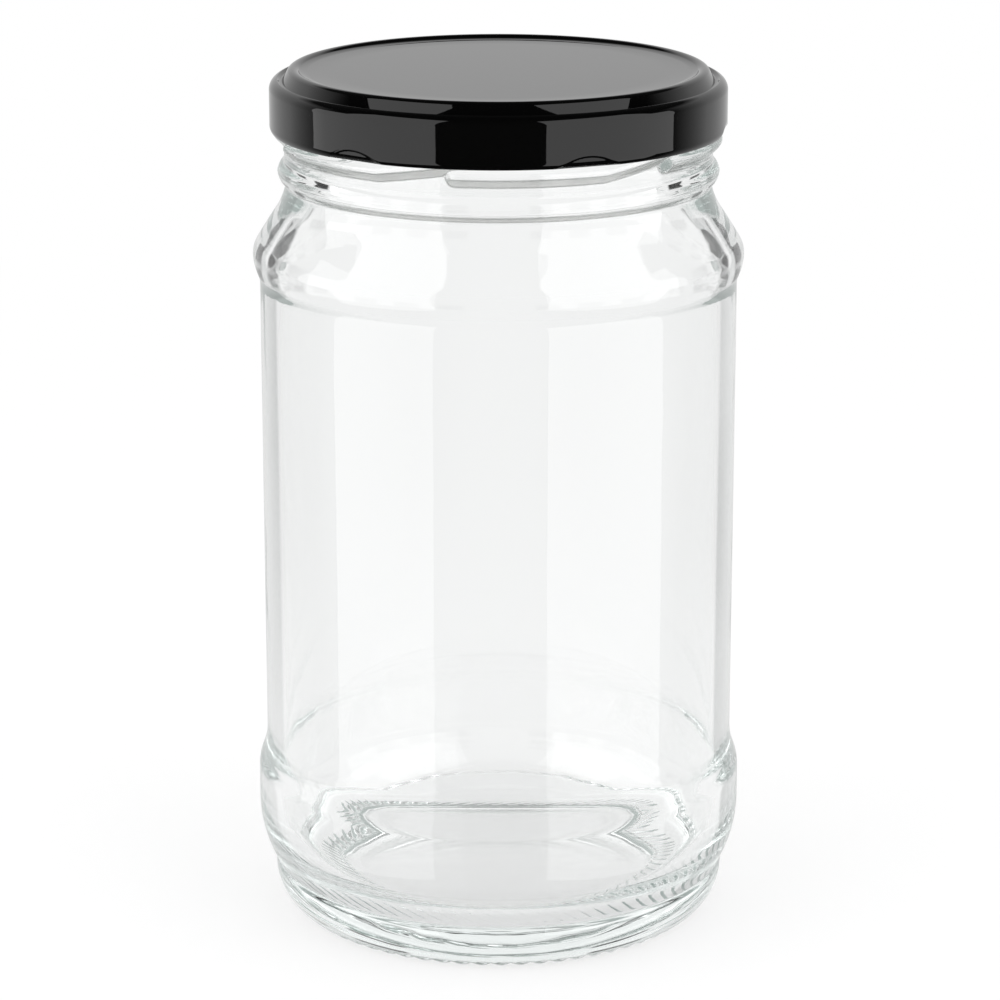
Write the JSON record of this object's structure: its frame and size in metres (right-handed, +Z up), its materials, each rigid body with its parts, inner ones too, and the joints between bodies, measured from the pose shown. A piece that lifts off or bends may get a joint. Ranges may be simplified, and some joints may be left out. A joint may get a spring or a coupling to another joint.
{
  "type": "twist-off glass jar",
  "caption": "Clear glass food jar with a recessed label panel, a knurled foot and a black twist-off steel cap.",
  "frame": {"origin": "on the jar's axis, in the plane it stands on", "axes": "+Z up along the jar's axis, towards the cap; -Y towards the viewer of the front"},
  "size_m": [0.092, 0.092, 0.1619],
  "materials": {
    "glass": "polished clear flint glass",
    "cap_lacquer": "gloss black lacquer on tinplate"
  },
  "bodies": {
    "root": {"jar": "glass", "cap": "cap_lacquer"}
  },
  "joints": []
}
